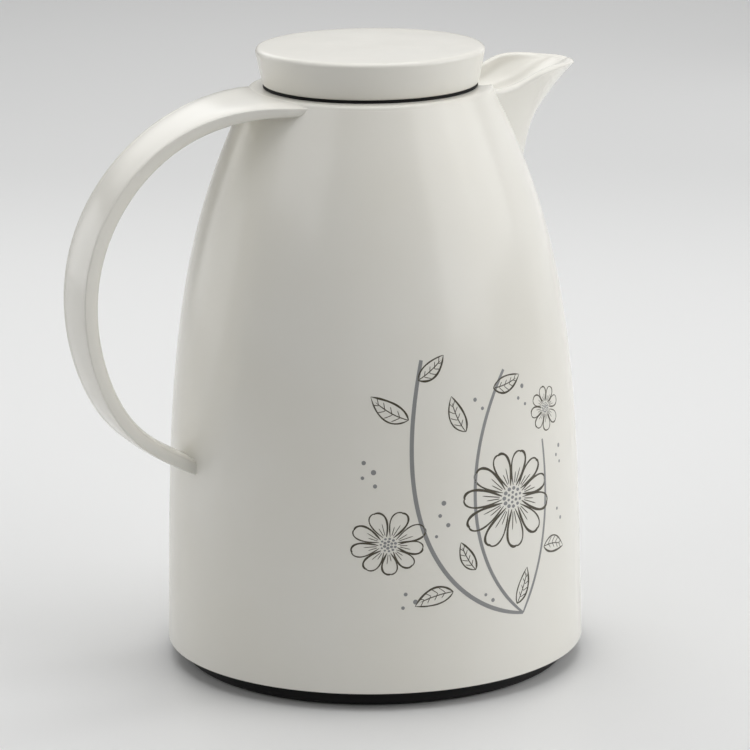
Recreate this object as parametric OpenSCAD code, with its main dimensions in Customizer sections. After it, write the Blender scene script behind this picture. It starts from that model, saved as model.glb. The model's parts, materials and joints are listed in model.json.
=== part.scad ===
// Glass-lined vacuum carafe with a screw stopper lid.
// Origin: on the body axis, in the plane it stands on. +Z up, spout towards +X, handle towards -X.
// Lengths in millimetres.

/* [Body] */
// Radius of the shell at its bottom edge
base_r = 78; // [77:0.25:80]
// Radius of the rim at the top of the body
rim_r = 45; // [44.5:0.25:45.5]
// Height of the shell's bottom edge above the table
shell_lift = 6.5; // [6:0.25:7]
// Wall thickness of the shell
wall = 2.4; // [2.2:0.1:2.6]

/* [Lid] */
// Radius of the cap at its top edge
lid_top_r = 42; // [41.5:0.25:43]
// Radius of the cap at its bottom edge
lid_bottom_r = 39.6; // [39.2:0.1:40]
// Height of the cap's side
lid_side_h = 13.75; // [12.5:0.25:14.25]

/* [Thread] */
// Climb of the stopper in one full turn
thread_lead = 15; // [14:0.5:16]
// Part of a turn that each thread lug covers, in degrees
lug_span = 105; // [80:5:105]

/* [Handle] */
// How far the handle's middle stands out from the body axis, as a factor of the standard reach
handle_reach = 1; // [0.97:0.01:1.05]
// Width of the strap where it is gripped
strap_w = 21.5; // [20:0.5:22.5]
// Thickness of the strap where it is gripped
strap_t = 7.5; // [7.3:0.1:8]

/* [Spout] */
// Distance of the spout's tip from the body axis
spout_reach = 83.5; // [82.5:0.5:85]

/* [Flask] */
// Outer radius of the outer glass wall
glass_r = 66; // [65:0.25:66.5]
// Radius of the opening in the flask's neck
neck_r = 26.2; // [26:0.1:26.4]

/* [Hidden] */

$fn = 96;
eps = 0.01;
white = [0.93, 0.92, 0.90];
black = [0.06, 0.06, 0.06];
glass_c = [0.80, 0.82, 0.84];
silicone = [0.85, 0.86, 0.86];

// ---- curves -------------------------------------------------------------
function choose(n, k) = k == 0 ? 1 : choose(n, k - 1) * (n - k + 1) / k;
function bez(c, t) = let (n = len(c) - 1)
    [for (d = [0:len(c[0]) - 1])
        [for (i = [0:n]) choose(n, i) * pow(1 - t, n - i) * pow(t, i) * c[i][d]] *
        [for (i = [0:n]) 1]];
function unit(v) = v / norm(v);
function reversed(v) = [for (i = [len(v) - 1:-1:0]) v[i]];

// Outside of the bell, from its bottom edge to the rim: [radius, height]
rim_z = shell_lift + 207.5;
seat_z = rim_z - 0.6;          // top edge of the shell, where the collar sits
rim_top = rim_z + 1;           // flat top of the rim
bell_c = [[base_r, shell_lift], [base_r - 2, shell_lift + 85.5], [base_r - 1.5, shell_lift + 143.5],
          [rim_r + 11, shell_lift + 182.5], [rim_r, rim_z]];
bell_n = 36;
bell = [for (i = [0:bell_n]) bez(bell_c, i / bell_n)];
function bell_r(z) = lookup(z, [for (p = bell) [p[1], p[0]]]);

// ---- the bell -----------------------------------------------------------
// Everything inside the bell's outer surface
module bell_solid() {
    rotate_extrude()
        polygon(concat([[0, shell_lift]], bell, [[rim_r - 0.25, rim_z + 0.45], [rim_r - 0.8, rim_z + 0.8], [rim_r - 1.8, rim_top], [0, rim_top]]));
}

// Gap in the shell's top edge that the pouring channel goes through
module port_window() {
    translate([30, 0, 0]) rotate([90, 0, 90]) linear_extrude(30)
        polygon([[-15, 202], [15, 202], [22, seat_z], [22, rim_top + 2], [-22, rim_top + 2], [-22, seat_z]]);
}

// The three handle screws: [where the head rests, climb in degrees, length of the shank]
screw_r = 1.2;
head_r = 2;
screws = [[[-40.8, 10, rim_z - 2.7], 0, 12.5], [[-40.8, -10, rim_z - 2.7], 0, 12.5], [[-71.2, 0, 78.2], 25.5, 12]];
module screw_line(i, back = 0) {
    translate(screws[i][0]) rotate([0, screws[i][1] - 90, 0]) translate([0, 0, -back]) children();
}

module outer_shell() {
    color(white) difference() {
        union() {
            difference() {
                rotate_extrude()
                    polygon(concat(bell, reversed([for (p = bell) [p[0] - wall, p[1]]])));
                translate([0, 0, seat_z]) cylinder(r = 60, h = 10);
            }
            intersection() {
                difference() {
                    bell_solid();
                    translate([0, 0, seat_z]) cylinder(r = 60, h = 10);
                }
                for (i = [0:2])
                    screw_line(i) cylinder(r = head_r + 0.2, h = 9);
            }
        }
        port_window();
        for (i = [0:2])
            screw_line(i, 1) cylinder(r = screw_r + 0.1, h = 11);
    }
}

// ---- the collar with the spout --------------------------------------------
// Outer lower edge of the lip, u = 0 at the rim and 1 at the tip
lip_c = [[37.5, 23.4, rim_z - 1.85], [60.1, 17.95, rim_z - 3.9], [57.5, 22.4, rim_z + 10], [67.2, 27, rim_z + 2.35],
         [spout_reach, 6.3, rim_z + 5.85], [spout_reach, 0, rim_z + 2.45]];
function lip(u) = bez(lip_c, u);
// Direction towards the inside of the spout, in plan
function lip_in(u) = let (d = unit(lip(min(1, u + 0.01)) - lip(max(0, u - 0.01)) + [0, 0, 0]),
    n = unit([d[1], -d[0], 0])) n;
// Line along the front of the spout, from the body to the tip
keel_c = [[61.7, 0, rim_z - 44], [63.9, 0, rim_z - 17.8], [57.1, 0, rim_z - 23.9], [spout_reach - 3.4, 0, rim_z + 1.2]];
function keel(u) = bez(keel_c, u);
// Ribs run from the lip down to the keel. The first one lies just under the body's surface.
rib_root = [0.36, 0.86, 0.28, 0.78, 0.36, 0.6];
rib_mid = [0.208, 0.75, 0.121, 1, 0.3, 1];
function smooth(x) = let (c = min(1, max(0, x))) c * c * (3 - 2 * c);
function rib(u, t) = let (a = lip(u), k = keel(u), r = rib_root + (rib_mid - rib_root) * smooth(u / 0.35))
    bez([a, [a[0] + (k[0] - a[0]) * r[0], a[1] * r[1], a[2] + (k[2] - a[2]) * r[2]],
         [a[0] + (k[0] - a[0]) * r[3], a[1] * r[4], a[2] + (k[2] - a[2]) * r[5]], k], t);
rib_n = 9;
// One side of a section, from the keel up to the lip and over it
function spout_side(u) = let (a = lip(u), n = lip_in(u))
    concat([for (j = [rib_n - 1:-1:0]) rib(u, j / rib_n)],
           [a + n * 0.8 + [0, 0, 0.8], a + n * 2.1 + [0, 0, 1.2], a + n * 3.4 + [0, 0, 1]]);
function mirrored(p) = [p[0], -p[1], p[2]];
function spout_ring(u) = let (s = spout_side(u))
    concat([keel(u)], s, reversed([for (p = s) mirrored(p)]));
spout_n = 20;

module spout_outer() {
    m = 2 * (rib_n + 3) + 1;
    h = rib_n + 3;
    // the first section is repeated further in, so that the spout is rooted in the body
    pts = concat([for (p = spout_ring(0)) p - [10, 0, 0]], [for (i = [0:spout_n]) each spout_ring(0.985 * i / spout_n)]);
    walls = [for (i = [0:spout_n]) for (j = [0:m - 1])
        let (a = i * m + j, b = i * m + (j + 1) % m, c = (i + 1) * m + (j + 1) % m, d = (i + 1) * m + j)
        each [[a, c, b], [a, d, c]]];
    // the end sections are closed by flat strips from side to side
    root = concat([[0, 1, m - 1]], [for (j = [1:h - 1]) each [[j, m - j - 1, m - j], [j, j + 1, m - j - 1]]]);
    o = (spout_n + 1) * m;
    tip = concat([[o, o + m - 1, o + 1]],
                 [for (j = [1:h - 1]) each [[o + j, o + m - j, o + m - j - 1], [o + j, o + m - j - 1, o + j + 1]]]);
    polyhedron(pts, concat(walls, root, tip), convexity = 6);
}

// The channel in the spout, from the bore to the tip
function channel_z(x) = rim_z - 9.5 + 13 * pow(max(0, (x - 38) / (spout_reach - 42)), 1.7) + 2.2 * smooth((x - 65) / 10);
chan_n = 18;
chan_m = 14;
function chan_edge(i) = let (u = i / chan_n, a = lip(u * 0.985), n = lip_in(u * 0.985)) a + n * 4.2 + [0, 0, 1.2];
function chan_ring(x, w, top, f) =
    concat([[x, w, top + 14], [x, w, top]],
           [for (j = [1:chan_m - 1]) let (b = 180 * j / chan_m)
               [x, w * (cos(b) >= 0 ? 1 : -1) * pow(abs(cos(b)), 0.7), top - (top - f) * pow(sin(b), 0.7)]],
           [[x, -w, top], [x, -w, top + 14]]);

module channel() {
    e = [for (i = [0:chan_n]) chan_edge(i)];
    rings = concat([chan_ring(24, 14, rim_z + 0.2, channel_z(24))], [chan_ring(31, 15.5, rim_z + 0.2, channel_z(31))],
                   [for (p = e) chan_ring(p[0], max(p[1], 0.6), p[2], min(channel_z(p[0]), p[2] - 0.2))]);
    m = chan_m + 3;
    k = len(rings);
    polyhedron([for (r = rings) each r],
        concat([for (i = [0:k - 2]) for (j = [0:m - 1])
                   let (a = i * m + j, b = i * m + (j + 1) % m, c = (i + 1) * m + (j + 1) % m, d = (i + 1) * m + j)
                   each [[a, b, c], [a, c, d]]],
               [[for (j = [m - 1:-1:0]) j]], [[for (j = [0:m - 1]) (k - 1) * m + j]]), convexity = 8);
}

// A thread lug: a trapezium swept along a helix. Outward when crest > root, inward otherwise.
module thread_lug(root, crest, z0, a0, span, lead, w_root, w_crest, n) {
    pts = [for (i = [0:n]) let (a = a0 + span * i / n, z = z0 + lead * span * i / n / 360,
                                f = min(1, 0.25 + i / 1.5, 0.25 + (n - i) / 1.5), rc = root + (crest - root) * f)
        each [[root * cos(a), root * sin(a), z - w_root / 2], [rc * cos(a), rc * sin(a), z - w_crest / 2],
              [rc * cos(a), rc * sin(a), z + w_crest / 2], [root * cos(a), root * sin(a), z + w_root / 2]]];
    inward = crest < root;
    side = [for (i = [0:n - 1]) for (j = [0:3])
        let (a = i * 4 + j, b = i * 4 + (j + 1) % 4, c = (i + 1) * 4 + (j + 1) % 4, d = (i + 1) * 4 + j)
        each (inward ? [[a, c, b], [a, d, c]] : [[a, b, c], [a, c, d]])];
    ends = inward ? [[0, 1, 2], [0, 2, 3], [n * 4, n * 4 + 2, n * 4 + 1], [n * 4, n * 4 + 3, n * 4 + 2]]
                  : [[0, 2, 1], [0, 3, 2], [n * 4, n * 4 + 1, n * 4 + 2], [n * 4, n * 4 + 2, n * 4 + 3]];
    polyhedron(pts, concat(side, ends), convexity = 4);
}

bore_r = 33;
ledge_z = rim_z - 24;          // seat that the stopper's seal closes on
lip_z = ledge_z - 4;           // top of the glass neck
plug_r = 30.4;
female_z = rim_z - 15.5;       // middle of the collar's thread where it starts
male_z = female_z - 3.45;
lug_from = 35;

module pouring_collar() {
    color(white) union() {
        difference() {
            union() {
                rotate_extrude()
                    polygon([[neck_r + 0.6, lip_z + 2], [32.7, lip_z + 2], [32.7, lip_z - 3], [36, lip_z - 3],
                             [36, seat_z], [bell_r(seat_z), seat_z], [rim_r, rim_z],
                             [rim_r - 0.25, rim_z + 0.45], [rim_r - 0.8, rim_z + 0.8], [rim_r - 1.8, rim_top],
                             [bore_r + 0.8, rim_top], [bore_r, rim_top - 0.8], [bore_r, ledge_z], [neck_r + 0.6, ledge_z]]);
                difference() {
                    spout_outer();
                    difference() {
                        bell_solid();
                        port_window();
                    }
                }
                intersection() {
                    port_window();
                    cylinder(r = rim_r - 0.5, h = rim_top);
                }
            }
            difference() {
                channel();
                cylinder(r = 30, h = 300);
            }
            translate([0, 0, ledge_z]) cylinder(r = bore_r, h = 40);
        }
        for (k = [0, 180])
            thread_lug(bore_r + 0.5, bore_r - 1.8, female_z, lug_from + k, lug_span, thread_lead, 4.2, 2.6, 16);
    }
}

// ---- the handle -----------------------------------------------------------
// Middle of the strap's outer face in the plane of symmetry: [x, z]
handle_c = [[-43.2, rim_z + 0.4], [-107.8 * handle_reach, rim_z + 2.1], [-119.3 * handle_reach, rim_z - 53.3],
            [-139.2 * handle_reach, rim_z - 60.6], [-102.8 * handle_reach, rim_z - 117.2],
            [-118.8 * handle_reach, rim_z - 115.7], [-70.1, rim_z - 138.9]];
handle_n = 56;
// t runs from slightly below 0, inside the rim, to 1, inside the body
function strap_at(t) = t < 0 ? [-43.2 - t * 90, rim_z + 0.4 + t * 2.4] : bez(handle_c, t);
function strap_dir(t) = unit(strap_at(t + 0.004) - strap_at(t - 0.004));
function strap_in(t) = let (d = strap_dir(min(0.995, t))) [-d[1], d[0]];
function strap_width(t) = t < 0 ? strap_w + 27.4 - t * 50
    : strap_w + 1.8 * pow(1 - t, 4) + 25.6 * pow(1 - t, 14) - 6 * pow(t, 14);
function strap_thick(t) = strap_t / 7.5 * bez([[5.63], [9.23], [6.77], [7.27], [5.74]], max(0, t))[0];
// The outer face is crowned a little, and more where it runs into the rim
crown = 0.5;
function root_crown(t) = 0.5 * pow(1 - max(0, t), 14);
side_p = 3.6;
function split(t) = 0.77 * t;   // depth of the joint between the strap and its cover
function side_y(w, t, d) = w / 2 * pow(max(0, 1 - pow(max(0, (d - 1) / (t - 1)), side_p)), 1 / side_p);
// Section of the outer part: [y, depth], rc = extra height of its middle
function outer_sec(w, t, rc) = let (h = w / 2, f = h - 1.1)
    concat([[side_y(w, t, split(t)), split(t)]],
           [for (d = [4, 2.6]) [side_y(w, t, d), d]],
           [[h, 1.1], [h - 0.35, crown + 0.2], [f, crown], [f * 0.75, crown * 0.56 - rc * 0.44], [f * 0.4, crown * 0.16 - rc * 0.84],
            [0, -rc],
            [-f * 0.4, crown * 0.16 - rc * 0.84], [-f * 0.75, crown * 0.56 - rc * 0.44], [-f, crown], [-h + 0.35, crown + 0.2], [-h, 1.1]],
           [for (d = [2.6, 4]) [-side_y(w, t, d), d]],
           [[-side_y(w, t, split(t)), split(t)]]);
function cavity_sec(w, t) = let (h = w / 2 - 2.6) [[h, split(t) + 1], [h, 2.4], [-h, 2.4], [-h, split(t) + 1]];
function cover_sec(w, t) = let (n = 9, y0 = side_y(w, t, split(t)))
    concat([[y0, split(t)]],
           [for (i = [1:n - 1]) let (a = 180 * i / n, d = split(t) + (t - split(t)) * pow(sin(a), 0.8))
               [(cos(a) >= 0 ? 1 : -1) * side_y(w, t, d) * pow(abs(cos(a)), 0.12), d]],
           [[-y0, split(t)]]);

module strap(kind, t0, t1, n) {
    ts = [for (i = [0:n]) t0 + (t1 - t0) * i / n];
    secs = [for (t = ts) let (w = strap_width(t), h = strap_thick(t))
        kind == 0 ? outer_sec(w, h, root_crown(t)) : kind == 1 ? cavity_sec(w, h) : cover_sec(w, h)];
    m = len(secs[0]);
    pts = [for (i = [0:n]) let (o = strap_at(ts[i]), q = strap_in(ts[i]))
        each [for (p = secs[i]) [o[0] + q[0] * p[1], p[0], o[1] + q[1] * p[1]]]];
    polyhedron(pts,
        concat([for (i = [0:n - 1]) for (j = [0:m - 1])
                   let (a = i * m + j, b = i * m + (j + 1) % m, c = (i + 1) * m + (j + 1) % m, d = (i + 1) * m + j)
                   each (kind == 2 ? [[a, c, b], [a, d, c]] : [[a, b, c], [a, c, d]])],
               kind == 2 ? [[for (j = [0:m - 1]) j], [for (j = [m - 1:-1:0]) n * m + j]]
                         : [[for (j = [m - 1:-1:0]) j], [for (j = [0:m - 1]) n * m + j]]), convexity = 10);
}

module handle() {
    color(white) difference() {
        strap(0, -0.1, 1, handle_n);
        bell_solid();
        strap(1, 0.17, 0.84, 34);
        for (i = [0:2])
            screw_line(i) cylinder(r = screw_r, h = screws[i][2] + 0.3);
    }
}

module handle_cover() {
    color(white) difference() {
        strap(2, -0.1, 1, handle_n);
        bell_solid();
    }
}

module handle_screws() {
    color([0.7, 0.7, 0.72]) for (i = [0:2]) screw_line(i, 1.8) {
        difference() {
            cylinder(r = head_r, h = 1.8);
            translate([0, 0, -eps]) cylinder(r = 1.2, h = 1, $fn = 6);
        }
        cylinder(r = screw_r, h = 1.8 + screws[i][2] - 1);
        translate([0, 0, 0.8 + screws[i][2]]) cylinder(r1 = screw_r, r2 = 0.5, h = 1);
    }
}

// ---- the base -------------------------------------------------------------
ring_z = shell_lift + 1.5;

module base_thread_ring() {
    color(white) union() {
        rotate_extrude()
            polygon([[base_r - 5.4, ring_z], [base_r - 2.7, ring_z], [base_r - 2.7, ring_z + 11], [base_r - 5.4, ring_z + 11]]);
        for (k = [0:90:270])
            thread_lug(base_r - 5, base_r - 6.1, ring_z + 6.5, k, 40, 12, 3, 2, 8);
    }
}

module base_cup() {
    color(black) union() {
        rotate_extrude()
            polygon([[0, 3.2], [59.5, 3.2], [60.5, 0.6], [62, 0.6], [62, 2.4], [68, 2.4], [68, 0.6], [71.2, 0.6],
                     [base_r - 6, 1.4], [base_r - 6, shell_lift + 0.1], [base_r - 3.1, shell_lift + 0.1],
                     [base_r - 3.1, ring_z - 0.6], [base_r - 6.8, ring_z - 0.6], [base_r - 6.8, ring_z + 11],
                     [69, ring_z + 11], [69, 5.6], [18, 5.6], [18, 15], [15, 15], [15, 5.6], [0, 5.6]]);
        for (k = [0:90:270])
            thread_lug(base_r - 7, base_r - 5.8, ring_z + 3.35, k, 40, 12, 3, 2, 8);
    }
}

module base_gasket() {
    color(silicone) rotate_extrude()
        polygon([[base_r - 5.2, ring_z - 0.6], [base_r - 3.2, ring_z - 0.6], [base_r - 3.2, ring_z], [base_r - 5.2, ring_z]]);
}

module foot_ring() {
    color(black) rotate_extrude()
        polygon([[62.1, 0.5], [62.6, 0], [67.4, 0], [67.9, 0.5], [67.9, 2.4], [62.1, 2.4]]);
}

// ---- the flask ------------------------------------------------------------
flask_z = 53;                  // where the flask's round bottom becomes its straight side
shoulder_z = 120;              // where the straight side becomes the shoulder
neck_z = shell_lift + 173.5;   // where the shoulder becomes the neck
// Outside of one glass wall, [radius, height]: r = side, b = depth of the round bottom, n = neck
function wall_line(r, b, n, top) = concat(
    [for (i = [0:14]) let (a = 90 * i / 14) [r * sin(a), flask_z - b * cos(a)]],
    [for (i = [0:18]) bez([[r, shoulder_z], [r, shoulder_z + 31], [r * 0.66, neck_z - 24], [n, neck_z]], i / 18)],
    [[n, top]]);
function glass_wall(r, b, n, top, th) = let (o = wall_line(r, b, n, top), i = wall_line(r - th, b - th, n - th, top))
    concat(o, reversed(i));
outer_b = 22;
inner_gap = 5;
inner_b = 18;
glass_th = 1.8;
neck_or = 31;

module glass_outside() {
    rotate_extrude() polygon(concat([[0, flask_z - outer_b]], wall_line(glass_r, outer_b, neck_or, lip_z), [[0, lip_z]]));
}

module liner_outer() {
    color(glass_c) union() {
        rotate_extrude() polygon(glass_wall(glass_r, outer_b, neck_or, lip_z - 3.5, glass_th));
        // evacuation tip, sealed after the air is drawn out
        rotate_extrude()
            polygon([[0, flask_z - outer_b - 6], [1, flask_z - outer_b - 5.8], [2.2, flask_z - outer_b - 4.2],
                     [3.2, flask_z - outer_b - 1.5], [5.2, flask_z - outer_b + 0.3], [0, flask_z - outer_b + 0.6]]);
    }
}

module liner_inner() {
    color(glass_c) rotate_extrude()
        polygon(concat(wall_line(glass_r - inner_gap, inner_b, neck_r + glass_th, lip_z - 3.5),
                       [[neck_or, lip_z - 3.5], [neck_or, lip_z - 1.2], [neck_or - 0.5, lip_z - 0.4], [neck_or - 1.3, lip_z],
                        [neck_r + 1.3, lip_z], [neck_r + 0.4, lip_z - 0.4], [neck_r, lip_z - 1.2]],
                       reversed(wall_line(glass_r - inner_gap - glass_th, inner_b - glass_th, neck_r, lip_z - 3.5))));
}

// Three pads between the glass walls, near the bottom
module vacuum_spacers() {
    color([0.75, 0.72, 0.65]) difference() {
        intersection() {
            for (k = [0, 120, 240]) rotate(k) translate([36, 0, 30]) cylinder(r = 5, h = 20);
            rotate_extrude() polygon(concat(wall_line(glass_r - glass_th, outer_b - glass_th, 29.2, lip_z), [[0, lip_z]]));
        }
        rotate_extrude() polygon(concat(wall_line(glass_r - inner_gap, inner_b, neck_r + glass_th, lip_z), [[0, lip_z]]));
    }
}

module shoulder_cushion() {
    color([0.3, 0.3, 0.3]) difference() {
        rotate_extrude()
            polygon([[neck_or + 0.1, lip_z - 12], [37, lip_z - 20], [41, lip_z - 18], [37, lip_z - 3], [neck_or + 1.8, lip_z - 3],
                     [neck_or + 1.8, lip_z - 5], [neck_or + 0.1, lip_z - 5]]);
        glass_outside();
    }
}

module neck_gasket() {
    color(silicone) rotate_extrude()
        polygon([[neck_r + 0.6, lip_z], [neck_or, lip_z], [neck_or, lip_z - 4.5], [32.6, lip_z - 4.5], [32.6, lip_z + 2],
                 [neck_r + 0.6, lip_z + 2]]);
}

module liner_support() {
    color(white) rotate_extrude()
        polygon([[0, 6.6], [14.8, 6.6], [14.8, 17], [46, 17], [48, 24], [46, 24], [44.2, 19], [6, 19], [6, 9], [0, 9]]);
}

module liner_cushion() {
    color([0.25, 0.25, 0.25]) difference() {
        rotate_extrude() polygon([[39, 19], [44, 19], [45.9, 24.2], [50, 24.2], [52, 38.5], [39, 38.5]]);
        glass_outside();
    }
}

// ---- the lid --------------------------------------------------------------
cap_z = rim_top + 1.1;         // bottom edge of the cap, on top of the gasket
cap_top = cap_z + lid_side_h + 0.4;

module lid_gasket() {
    color(black) rotate_extrude()
        polygon([[34.2, rim_top], [39.2, rim_top], [39.4, rim_top + 0.2], [39.4, cap_z], [34.2, cap_z]]);
}

module lid_cap() {
    b = lid_bottom_r;
    t = lid_top_r;
    color(white) rotate_extrude()
        polygon([[0, cap_top], [t * 0.5, cap_top - 0.1], [t * 0.8, cap_top - 0.28], [t - 1.7, cap_top - 0.45],
                 [t - 0.8, cap_top - 0.75], [t - 0.2, cap_top - 1.3], [t, cap_top - 2],
                 [b + 0.15, cap_z + 0.9], [b - 0.1, cap_z + 0.3], [b - 0.7, cap_z], [b - 2.4, cap_z],
                 [t - 2.9, cap_top - 3.4], [t - 3.6, cap_top - 2.6], [33, cap_top - 2.4], [33, cap_z + 3], [plug_r + 0.1, cap_z + 3],
                 [plug_r + 0.1, cap_top - 2.6], [0, cap_top - 2.4]]);
}

module stopper_body() {
    color(black) union() {
        rotate_extrude()
            polygon([[24.5, ledge_z + 2.8], [plug_r - 0.6, ledge_z + 2.8], [plug_r, ledge_z + 3.4], [plug_r, cap_z],
                     [lid_bottom_r - 2.5, cap_z], [lid_bottom_r - 2.3, cap_z + 2], [plug_r, cap_z + 2],
                     [plug_r, cap_top - 3], [plug_r - 2, cap_top - 3],
                     [plug_r - 2, ledge_z + 4.6], [24.5, ledge_z + 4.6]]);
        for (k = [0, 180])
            thread_lug(plug_r - 0.5, plug_r + 2.1, male_z, lug_from + k, lug_span, thread_lead, 4, 2.6, 16);
    }
}

module stopper_insulation() {
    color([0.95, 0.93, 0.8]) translate([0, 0, ledge_z + 4.6]) cylinder(r = plug_r - 2.1, h = cap_top - 3 - ledge_z - 4.6);
}

module stopper_base() {
    color(black) rotate_extrude()
        polygon([[0, ledge_z - 3], [16, ledge_z - 2.8], [24.5, ledge_z - 2.2], [26, ledge_z - 1.4], [26, ledge_z],
                 [24.4, ledge_z], [24.4, ledge_z + 4.6], [0, ledge_z + 4.6]]);
}

module stopper_seal() {
    color(silicone) rotate_extrude()
        polygon([[24.4, ledge_z], [30.1, ledge_z], [30.3, ledge_z + 0.3], [30.3, ledge_z + 2.4], [29.8, ledge_z + 2.8],
                 [24.4, ledge_z + 2.8]]);
}

outer_shell();
pouring_collar();
handle();
handle_cover();
handle_screws();
base_thread_ring();
base_cup();
base_gasket();
foot_ring();
liner_support();
liner_cushion();
liner_outer();
liner_inner();
vacuum_spacers();
shoulder_cushion();
neck_gasket();
lid_gasket();
lid_cap();
stopper_body();
stopper_insulation();
stopper_base();
stopper_seal();
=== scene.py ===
import json
import math
import bpy
import bmesh
import numpy as np
from mathutils import Matrix, Vector


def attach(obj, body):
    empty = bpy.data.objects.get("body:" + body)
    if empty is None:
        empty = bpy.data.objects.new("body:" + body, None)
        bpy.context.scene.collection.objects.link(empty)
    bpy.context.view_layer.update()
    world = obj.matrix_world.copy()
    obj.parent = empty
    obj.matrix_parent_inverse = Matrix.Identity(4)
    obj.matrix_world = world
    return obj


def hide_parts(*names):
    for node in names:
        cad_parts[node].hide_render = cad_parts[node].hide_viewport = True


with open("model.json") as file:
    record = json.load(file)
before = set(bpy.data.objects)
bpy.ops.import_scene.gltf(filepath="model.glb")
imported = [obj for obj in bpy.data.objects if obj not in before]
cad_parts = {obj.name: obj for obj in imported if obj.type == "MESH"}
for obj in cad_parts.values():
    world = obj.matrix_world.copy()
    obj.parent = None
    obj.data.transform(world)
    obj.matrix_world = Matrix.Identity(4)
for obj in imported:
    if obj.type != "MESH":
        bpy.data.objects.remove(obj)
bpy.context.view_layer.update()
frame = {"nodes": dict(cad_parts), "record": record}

MM = 0.001
scene = bpy.context.scene
ROOT, RING, LID = "body", "lid_ring", "lid"

# ---------------------------------------------------------------- curves
def comb(n, k):
    return math.comb(n, k)


def bez(c, t):
    c = np.asarray(c, float)
    t = np.atleast_1d(np.asarray(t, float))
    n = len(c) - 1
    return sum((comb(n, i) * (1 - t) ** (n - i) * t ** i)[:, None] * c[i] for i in range(n + 1))


def smooth01(x):
    x = np.clip(x, 0, 1)
    return x * x * (3 - 2 * x)


RIM_Z = 214.0
SEAT_Z = 213.4
RIM_TOP = 215.0
BELL = [[78, 6.5], [76, 92], [76.5, 150], [56, 189], [45, 214]]
_bt = bez(BELL, np.linspace(0, 1, 3000))


def bell_r(z):
    return np.interp(z, _bt[:, 1], _bt[:, 0])


# ---------------------------------------------------------------- mesh helpers
def mesh_obj(name, verts, faces, smooth=True):
    me = bpy.data.meshes.new(name)
    me.from_pydata([tuple(float(c) * MM for c in v) for v in verts], [], [tuple(int(i) for i in f) for f in faces])
    me.validate()
    bm = bmesh.new()
    bm.from_mesh(me)
    bmesh.ops.recalc_face_normals(bm, faces=bm.faces)
    bm.to_mesh(me)
    bm.free()
    me.polygons.foreach_set("use_smooth", [smooth] * len(me.polygons))
    o = bpy.data.objects.new(name, me)
    scene.collection.objects.link(o)
    return o


def rounded(pts, closed=True, steps=7, hold=0.12):
    """Outline with its corners rounded. pts: (r, z) or (r, z, radius). Adds a support point on each side of an arc."""
    n = len(pts)
    out = []
    for i, p in enumerate(pts):
        rad = p[2] if len(p) > 2 else 0
        b = np.array(p[:2], float)
        if rad <= 0 or (not closed and i in (0, n - 1)):
            out.append(b)
            continue
        a = np.array(pts[(i - 1) % n][:2], float)
        c = np.array(pts[(i + 1) % n][:2], float)
        u, v = a - b, c - b
        lu, lv = np.linalg.norm(u), np.linalg.norm(v)
        u, v = u / lu, v / lv
        ang = math.acos(max(-1, min(1, float(u @ v))))
        if ang > math.pi - 0.02:
            out.append(b)
            continue
        d = min(rad / math.tan(ang / 2), 0.45 * lu, 0.45 * lv)
        r = d * math.tan(ang / 2)
        mid = (u + v) / np.linalg.norm(u + v)
        cen = b + mid * (r / math.sin(ang / 2))
        s, e = b + u * d, b + v * d
        h = min(hold, 0.04 * min(lu, lv) + 0.02)
        out.append(s + u * h)
        a0 = s - cen
        a1 = e - cen
        for k in range(steps + 1):
            t = k / steps
            w = a0 * (1 - t) + a1 * t
            out.append(cen + w / np.linalg.norm(w) * r)
        out.append(e + v * h)
    return np.array(out)


def lathe(name, prof, segs=256, closed=True, smooth=True):
    """Turned solid. prof: (r, z) outline; points with r = 0 become poles."""
    prof = np.asarray(prof, float)
    th = np.arange(segs) * 2 * math.pi / segs
    cs, sn = np.cos(th), np.sin(th)
    verts, idx = [], []
    for r, z in prof:
        if r < 1e-6:
            idx.append([len(verts)] * segs)
            verts.append((0, 0, z))
        else:
            base = len(verts)
            idx.append(list(range(base, base + segs)))
            verts.extend(zip(r * cs, r * sn, [z] * segs))
    faces = []
    n = len(prof)
    for i in range(n if closed else n - 1):
        a, b = idx[i], idx[(i + 1) % n]
        if a[0] == a[-1] and b[0] == b[-1]:
            continue
        for k in range(segs):
            k2 = (k + 1) % segs
            q = [a[k], a[k2], b[k2], b[k]]
            q = [v for j, v in enumerate(q) if v not in q[:j]]
            if len(q) > 2:
                faces.append(q)
    return mesh_obj(name, verts, faces, smooth)


def grid_solid(name, rings, smooth=True, cap=True):
    """Closed loft through rings of equally many points."""
    m, k = len(rings[0]), len(rings)
    verts = [p for r in rings for p in r]
    faces = [(i * m + j, i * m + (j + 1) % m, (i + 1) * m + (j + 1) % m, (i + 1) * m + j)
             for i in range(k - 1) for j in range(m)]
    if cap:
        faces.append(list(range(m - 1, -1, -1)))
        faces.append([(k - 1) * m + j for j in range(m)])
    return mesh_obj(name, verts, faces, smooth)


def apply_mods(o):
    dg = bpy.context.evaluated_depsgraph_get()
    me = bpy.data.meshes.new_from_object(o.evaluated_get(dg))
    o.modifiers.clear()
    old = o.data
    o.data = me
    bpy.data.meshes.remove(old)


def boolean(o, other, op="DIFFERENCE"):
    m = o.modifiers.new("b", "BOOLEAN")
    m.operation = op
    m.solver = "EXACT"
    m.use_self = True
    m.object = other
    apply_mods(o)


def drop(o):
    bpy.data.objects.remove(o, do_unlink=True)


def join(name, objs):
    """One object holding the meshes of several."""
    bm = bmesh.new()
    for o in objs:
        bm.from_mesh(o.data)
    me = bpy.data.meshes.new(name)
    bm.to_mesh(me)
    bm.free()
    for o in objs:
        drop(o)
    o = bpy.data.objects.new(name, me)
    scene.collection.objects.link(o)
    me.polygons.foreach_set("use_smooth", [True] * len(me.polygons))
    return o


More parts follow.
